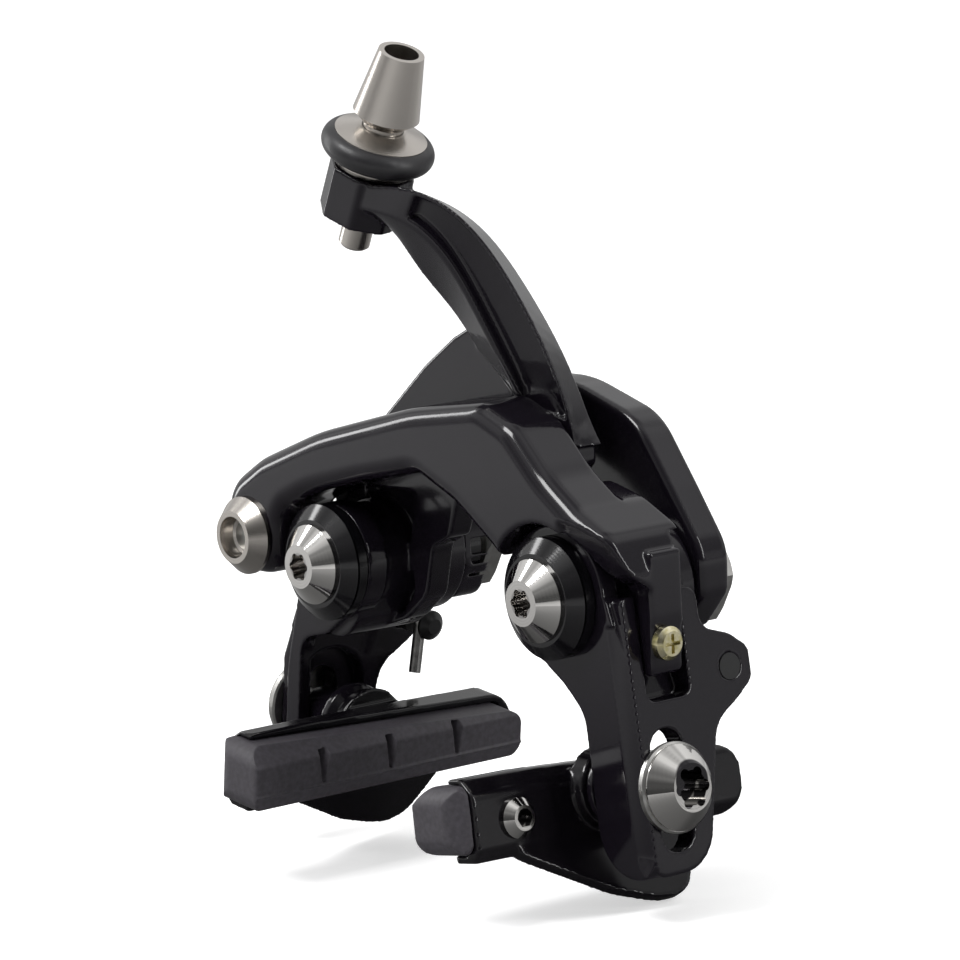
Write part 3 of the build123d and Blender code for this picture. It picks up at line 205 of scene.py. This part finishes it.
def turned_relief(tree, shader, centre, axis, pitch, height):
    """Fine rings that a lathe tool leaves about an axis."""
    point = add_node(tree, "ShaderNodeTexCoord").outputs["Object"]
    turn = Vector(axis).rotation_difference(Vector((0, 0, 1))).to_euler()
    moved = add_node(tree, "ShaderNodeMapping", {
        "vector_type": "POINT", "Location": -(turn.to_matrix() @ Vector(centre)), "Rotation": turn,
    }, Vector=point)
    rings = add_node(tree, "ShaderNodeTexWave", {
        "wave_type": "RINGS", "rings_direction": "Z",
        "Scale": RING_SCALE / pitch, "Distortion": 0.4, "Detail": 2.0,
    }, Vector=moved.outputs["Vector"])
    bump = add_node(
        tree, "ShaderNodeBump", {"Strength": 1.0, "Distance": height}, Height=rings.outputs["Fac"]
    )
    tree.links.new(bump.outputs["Normal"], shader.inputs["Normal"])


def black_anodised_turning(name, centre):
    """Aluminium turned on a lathe and dyed black: fine rings under a satin black skin."""
    material, tree, shader = new_material(name, "#0b0a0d", {"Roughness": 0.13, "IOR": 1.5})
    turned_relief(tree, shader, centre, (0, 1, 0), 0.12 * MM, 0.001 * MM)
    return material


POLISHED_STEEL = "#cfcdca"
# Painted shade inside the driver sockets: lighter in the mount bolts, darker in the shoe bolts and pad
# screws
LIGHT_SOCKET_PAINTED_SHADE = "#a8a6a4"
DARK_SOCKET_PAINTED_SHADE = "#3a393b"


def polished_plated_steel(name, centre, axis, socket_r, painted_socket_shade):
    """Cold headed steel, polished and plated: near mirror, with a darker colour painted inside its driver
    socket as shade.
    """
    material, tree, shader = new_material(name, POLISHED_STEEL, {"Metallic": 1.0})
    roughness_spread(tree, shader, 2.5 * MM, 0.05, 0.1)
    turned_relief(tree, shader, centre, axis, 0.15 * MM, 0.0012 * MM)
    # Painted shade: the socket's colour inside its radius, fading to polished steel at the edge
    point = add_node(tree, "ShaderNodeTexCoord").outputs["Object"]
    offset = add_node(tree, "ShaderNodeVectorMath", {"operation": "SUBTRACT"}, i0=point)
    offset.inputs[1].default_value = centre
    across = add_node(
        tree, "ShaderNodeVectorMath", {"operation": "CROSS_PRODUCT"}, i0=offset.outputs["Vector"]
    )
    across.inputs[1].default_value = axis
    reach = add_node(tree, "ShaderNodeVectorMath", {"operation": "LENGTH"}, i0=across.outputs["Vector"])
    ramp = add_node(tree, "ShaderNodeMapRange", {
        "From Min": socket_r * SOCKET_SHADE_FADE, "From Max": socket_r, "To Min": 0.0, "To Max": 1.0,
    }, Value=reach.outputs["Value"])
    colour = add_node(tree, "ShaderNodeMix", {"data_type": "RGBA"}, Factor=ramp.outputs["Result"])
    colour.inputs[MIX_FIRST].default_value = linear(painted_socket_shade)
    colour.inputs[MIX_SECOND].default_value = linear(POLISHED_STEEL)
    tree.links.new(colour.outputs[MIX_RESULT], shader.inputs["Base Color"])
    return material


def satin_turned_aluminium(name, centre, axis):
    """Aluminium bar turned to a fine satin: soft broad highlights, warm silver."""
    material, tree, shader = new_material(name, "#b9b4ae", {"Metallic": 1.0, "Roughness": 0.27})
    turned_relief(tree, shader, centre, axis, 0.14 * MM, 0.002 * MM)
    return material


def zinc_plated_steel():
    """Steel washers and nuts, barrel zinc plated: bright grey with a slight cloud."""
    material, tree, shader = new_material(
        "bright_zinc_plated_steel", "#c4c3c0", {"Metallic": 1.0, "Roughness": 0.28}
    )
    colour_spread(tree, shader, 1.5 * MM, "#b9b8b5", "#cfcecb")
    grain_bump(tree, shader, 0.4 * MM, 0.003 * MM)
    return material


def ground_steel():
    """Hardened steel bush, ground to size."""
    material, tree, shader = new_material(
        "ground_steel_bush", "#9d9c9a", {"Metallic": 1.0, "Roughness": 0.22}
    )
    grain_bump(tree, shader, 0.3 * MM, 0.001 * MM)
    return material


def drawn_spring_wire():
    """Drawn spring steel wire, tempered and oiled: grey with long streaks."""
    material, tree, shader = new_material(
        "drawn_spring_wire", "#8f8e8c", {"Metallic": 1.0, "Roughness": 0.3}
    )
    colour_spread(tree, shader, 1.0 * MM, "#807f7d", "#9c9b99")
    return material


def yellow_zinc_plating():
    """Small steel screw in yellow passivated zinc: pale gold with a green and pink cloud."""
    material, tree, shader = new_material(
        "yellow_passivated_zinc", "#d6cda0", {"Metallic": 1.0, "Roughness": 0.24}
    )
    colour_spread(tree, shader, 1.1 * MM, "#c9c08a", "#e3dcc0")
    grain_bump(tree, shader, 0.5 * MM, 0.004 * MM)
    return material


def moulded_acetal():
    """Black acetal spring holder, moulded: even, slightly waxy."""
    material, tree, shader = new_material(
        "moulded_black_acetal", "#121213", {"Roughness": 0.38, "IOR": 1.48}
    )
    grain_bump(tree, shader, 0.25 * MM, 0.004 * MM)
    return material


def moulded_ring_rubber():
    """Rubber grip ring: dark, soft sheen."""
    material, tree, shader = new_material(
        "moulded_ring_rubber", "#19181b", {"Roughness": 0.42, "IOR": 1.52}
    )
    roughness_spread(tree, shader, 1.5 * MM, 0.36, 0.5)
    grain_bump(tree, shader, 0.3 * MM, 0.004 * MM)
    return material


def moulded_pad_rubber():
    """Brake pad compound, moulded: matt dark grey with fine grit that shows."""
    material, tree, shader = new_material(
        "moulded_pad_rubber", "#38353b", {"Roughness": 0.55, "IOR": 1.48}
    )
    colour_spread(tree, shader, 0.8 * MM, "#343136", "#3e3b41")
    grain_bump(tree, shader, 0.35 * MM, 0.008 * MM, 4.0)
    return material


enamel = stoved_black_enamel()
holder_enamel = cast_holder_enamel()
zinc = zinc_plated_steel()
bush_steel = ground_steel()
wire_steel = drawn_spring_wire()
yellow_zinc = yellow_zinc_plating()
acetal = moulded_acetal()
ring_rubber = moulded_ring_rubber()
pad_rubber = moulded_pad_rubber()


def middle(node):
    """Middle of a CAD node's box."""
    low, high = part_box(node)
    return (low + high) / 2


def finish_with(piece, material):
    """Leaves one material on a piece."""
    piece.data.materials.clear()
    piece.data.materials.append(material)


def give(node, material):
    """Puts a material on a CAD node."""
    finish_with(frame["nodes"][node], material)


def copy_of(node, name):
    """Free copy of a CAD node, with a mesh of its own."""
    piece = frame["nodes"][node].copy()
    piece.data = frame["nodes"][node].data.copy()
    piece.parent = None
    for key in list(piece.keys()):
        del piece[key]
    piece.name = name
    piece.data.name = name
    bpy.context.scene.collection.objects.link(piece)
    return piece


def stand_in_for(piece, node, material):
    """Shows a piece in place of a CAD node, on the same body and in the given finish."""
    finish_with(piece, material)
    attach(piece, BODY_OF[node])
    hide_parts(node)


def apply_modifiers(piece):
    """Turns a piece's modifiers into mesh."""
    bpy.context.view_layer.update()
    evaluated = piece.evaluated_get(bpy.context.evaluated_depsgraph_get())
    mesh = bpy.data.meshes.new_from_object(evaluated)
    old = piece.data
    piece.modifiers.clear()
    piece.data = mesh
    bpy.data.meshes.remove(old)
    mesh.name = piece.name


def forged(node, name, voxel, rounds, material):
    """Stands for a node with a copy that has the soft corners of forging and tumbling."""
    piece = copy_of(node, name)
    remesh = piece.modifiers.new("closed_skin", "REMESH")
    remesh.mode = "VOXEL"
    remesh.voxel_size = voxel
    remesh.use_smooth_shade = True
    smooth = piece.modifiers.new("soft_corners", "SMOOTH")
    smooth.factor = 0.5
    smooth.iterations = rounds
    apply_modifiers(piece)
    stand_in_for(piece, node, material)


# CAD node, piece that stands for it, voxel in millimetres, rounds of smoothing, finish
FORGINGS = (
    ("adjuster_arm", "forged_adjuster_arm", 0.26, 6, enamel),
    ("anchor_arm", "forged_anchor_arm", 0.3, 8, enamel),
    ("right_leg", "forged_right_leg", 0.18, 14, enamel),
    ("bridge_plate", "pressed_bridge_plate", 0.35, 3, enamel),
)
SHOE_CASTINGS = (
    ("pad_holder", "cast_pad_holder", 0.3, 4, holder_enamel),
    ("brake_pad", "moulded_brake_pad", 0.16, 3, pad_rubber),
    ("domed_washer", "turned_domed_washer", 0.2, 2, enamel),
)

for node, name, voxel, rounds, finish in FORGINGS:
    forged(node, name, voxel * MM, rounds, finish)

for side in SIDES:
    for node, name, voxel, rounds, finish in SHOE_CASTINGS:
        forged(f"{node}_{side}", f"{name}_{side}", voxel * MM, rounds, finish)
    sign = -1 if side == "left" else 1
    pivot = (sign * PIVOT_X, 0, 0)
    # Mount bolts get the lighter painted shade inside their sockets
    give(f"mount_bolt_{side}", polished_plated_steel(
        f"polished_mount_bolt_{side}", pivot, (0, 1, 0), BOLT_SOCKET_R, LIGHT_SOCKET_PAINTED_SHADE
    ))
    give(f"bolt_collar_{side}", black_anodised_turning(f"black_anodised_collar_{side}", pivot))
    give(f"spacer_washer_{side}", black_anodised_turning(f"black_anodised_spacer_{side}", pivot))
    give(f"pivot_bush_{side}", bush_steel)
    give(f"mount_nut_{side}", zinc)
    spring = copy_of(f"return_spring_{side}", f"drawn_return_spring_{side}")
    finish_with(spring, wire_steel)
    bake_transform(spring)
    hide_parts(f"return_spring_{side}")
    give(f"spring_holder_{side}", acetal)
    opened = math.radians(OPEN_ANGLE)
    shoe_axis = (math.cos(opened), 0, sign * math.sin(opened))
    # Shoe bolts and pad screws get the darker painted shade inside their sockets
    for kind, socket_r in (("shoe_bolt", SHOE_SOCKET_R), ("pad_screw", PAD_SCREW_SOCKET_R)):
        node = f"{kind}_{side}"
        give(node, polished_plated_steel(
            f"polished_{node}", middle(node), shoe_axis, socket_r, DARK_SOCKET_PAINTED_SHADE
        ))
    give(f"shoe_washer_{side}", zinc)

lean = math.radians(ADJUSTER_LEAN)
adjuster_aluminium = satin_turned_aluminium(
    "satin_turned_adjuster", middle("cable_stem"), (math.sin(lean), 0, math.cos(lean))
)
give("cable_stem", adjuster_aluminium)
give("adjuster_knob", adjuster_aluminium)
give("grip_ring", ring_rubber)
give("anchor_nut", satin_turned_aluminium("satin_turned_anchor_nut", middle("anchor_nut"), (0, 1, 0)))
give("anchor_bolt", zinc)
give("anchor_washer", zinc)
give("link_roller", bush_steel)
give("roller_pin", bush_steel)
give("centering_screw", yellow_zinc)


def place_camera():
    """The camera from which the picture was taken."""
    data = bpy.data.cameras.new("photo_camera")
    camera = bpy.data.objects.new("photo_camera", data)
    bpy.context.scene.collection.objects.link(camera)
    data.sensor_width = SENSOR
    data.lens = FOCAL_PIXELS / IMAGE_PIXELS * SENSOR
    data.clip_start = 0.01
    data.clip_end = 20
    turn = Matrix.Rotation(math.radians(CAMERA_AZIMUTH), 4, "Z")
    turn = turn @ Matrix.Rotation(math.radians(90 - CAMERA_ELEVATION), 4, "X")
    turn = turn @ Matrix.Rotation(math.radians(CAMERA_ROLL), 4, "Z")
    right, up, back = turn.col[0].to_3d(), turn.col[1].to_3d(), turn.col[2].to_3d()
    aim = right * AIM_RIGHT + up * AIM_UP + Vector((0, BOLT_SEAT_Y, 0))
    camera.matrix_world = Matrix.Translation(aim + back * CAMERA_DISTANCE) @ turn
    bpy.context.scene.camera = camera


def soft_lamp(name, place, target, width, height, watts):
    """Rectangular area lamp that faces the target."""
    data = bpy.data.lights.new(name, "AREA")
    data.shape = "RECTANGLE"
    data.size = width
    data.size_y = height
    data.energy = watts
    lamp = bpy.data.objects.new(name, data)
    bpy.context.scene.collection.objects.link(lamp)
    lamp.location = place
    lamp.rotation_euler = (Vector(target) - Vector(place)).to_track_quat("-Z", "Y").to_euler()


# Way from the object to the dark wall
DARK_WALL = (0.765, -0.625, 0.152)


def white_surroundings():
    """White behind the object, which is lit by a pale room whose wall behind the camera is dark."""
    world = bpy.data.worlds.new("white_studio")
    bpy.context.scene.world = world
    world.use_nodes = True
    tree = world.node_tree
    tree.nodes.clear()
    path = add_node(tree, "ShaderNodeLightPath")
    direction = add_node(tree, "ShaderNodeTexCoord").outputs["Generated"]
    parts = add_node(tree, "ShaderNodeSeparateXYZ", {}, Vector=direction)
    rise = add_node(
        tree, "ShaderNodeMapRange", {"From Min": -0.3, "From Max": 0.7, "To Min": 0.5, "To Max": 1.0},
        Value=parts.outputs["Z"],
    )
    facing = add_node(tree, "ShaderNodeVectorMath", {"operation": "DOT_PRODUCT"}, i0=direction)
    facing.inputs[1].default_value = DARK_WALL
    dark_side = add_node(
        tree, "ShaderNodeMapRange", {"From Min": 0.5, "From Max": 0.95, "To Min": 1.0, "To Max": 0.12},
        Value=facing.outputs["Value"],
    )
    walls = add_node(tree, "ShaderNodeTexNoise", {"Scale": 2.2, "Detail": 1.0}, Vector=direction)
    uneven = add_node(
        tree, "ShaderNodeMapRange", {"From Min": 0.38, "From Max": 0.58, "To Min": 0.45, "To Max": 1.0},
        Value=walls.outputs["Fac"],
    )
    first = add_node(tree, "ShaderNodeMath", {"operation": "MULTIPLY"},
                     i0=rise.outputs["Result"], i1=dark_side.outputs["Result"])
    level = add_node(tree, "ShaderNodeMath", {"operation": "MULTIPLY"},
                     i0=first.outputs["Value"], i1=uneven.outputs["Result"])
    studio = add_node(tree, "ShaderNodeBackground", {"Color": (1, 1, 1, 1)},
                      Strength=level.outputs["Value"])
    white = add_node(tree, "ShaderNodeBackground", {"Color": (1, 1, 1, 1), "Strength": 1.0})
    mix = add_node(tree, "ShaderNodeMixShader", {}, Fac=path.outputs["Is Camera Ray"],
                   i1=studio.outputs["Background"], i2=white.outputs["Background"])
    add_node(tree, "ShaderNodeOutputWorld", {}, Surface=mix.outputs["Shader"])


# Gap under the lowest edge, and half width of the floor
FLOOR_GAP = 0.4 * MM
FLOOR_HALF = 3.0

# Painted reflection: for glossy rays only, the floor's colour goes from a painted dark near the object to
# pale between these distances
FLOOR_NEAR = 0.05
FLOOR_FAR = 0.45
FLOOR_PAINTED_REFLECTION_DARK = 0.08
FLOOR_PAINTED_REFLECTION_PALE = 0.6

# Colour and glow of the floor for the camera
FLOOR_WHITE = "#f4f4f4"
FLOOR_GLOW = 0.45


def lay_floor():
    """Plain pale floor under the lowest edge; for glossy rays its colour is painted dark near the object,
    a painted reflection.
    """
    low = cad_box[0][2] - FLOOR_GAP
    half = FLOOR_HALF
    mesh = bpy.data.meshes.new("studio_floor")
    corners = [(-half, -half, low), (half, -half, low), (half, half, low), (-half, half, low)]
    mesh.from_pydata(corners, [], [(0, 1, 2, 3)])
    floor = bpy.data.objects.new("studio_floor", mesh)
    bpy.context.scene.collection.objects.link(floor)
    material, tree, shader = new_material("matt_white_floor", FLOOR_WHITE, {"Roughness": 0.9})
    shader.inputs["Emission Color"].default_value = (1, 1, 1, 1)
    path = add_node(tree, "ShaderNodeLightPath")
    place = add_node(tree, "ShaderNodeTexCoord").outputs["Object"]
    distance = add_node(tree, "ShaderNodeVectorMath", {"operation": "LENGTH"}, Vector=place)
    # Painted reflection: floor colour darkened near the object, seen only in glossy rays
    shade = add_node(tree, "ShaderNodeMapRange", {
        "From Min": FLOOR_NEAR, "From Max": FLOOR_FAR,
        "To Min": FLOOR_PAINTED_REFLECTION_DARK, "To Max": FLOOR_PAINTED_REFLECTION_PALE,
    }, Value=distance.outputs["Value"])
    colour = add_node(tree, "ShaderNodeMix", {"data_type": "RGBA"})
    colour.inputs[MIX_FIRST].default_value = linear(FLOOR_WHITE)
    tree.links.new(path.outputs["Is Glossy Ray"], colour.inputs["Factor"])
    tree.links.new(shade.outputs["Result"], colour.inputs[MIX_SECOND])
    tree.links.new(colour.outputs[MIX_RESULT], shader.inputs["Base Color"])
    glow = add_node(tree, "ShaderNodeMath", {"operation": "MULTIPLY"}, i0=path.outputs["Is Camera Ray"])
    glow.inputs[1].default_value = FLOOR_GLOW
    tree.links.new(glow.outputs["Value"], shader.inputs["Emission Strength"])
    floor.data.materials.append(material)


OBJECT_MIDDLE = (0, -0.03, 0.015)

# Lamp, place, width, height and watts
LAMPS = (
    ("key_lamp", (-0.1, -0.7, 1.0), 0.5, 0.35, 8),
    ("left_lamp", (-0.95, -0.4, 0.15), 0.15, 1.3, 5),
    ("right_lamp", (1.0, 0.35, 0.5), 0.15, 0.9, 4),
)

place_camera()
white_surroundings()
lay_floor()
for name, place, width, height, watts in LAMPS:
    soft_lamp(name, place, OBJECT_MIDDLE, width, height, watts)

bpy.context.scene.view_settings.view_transform = "Standard"
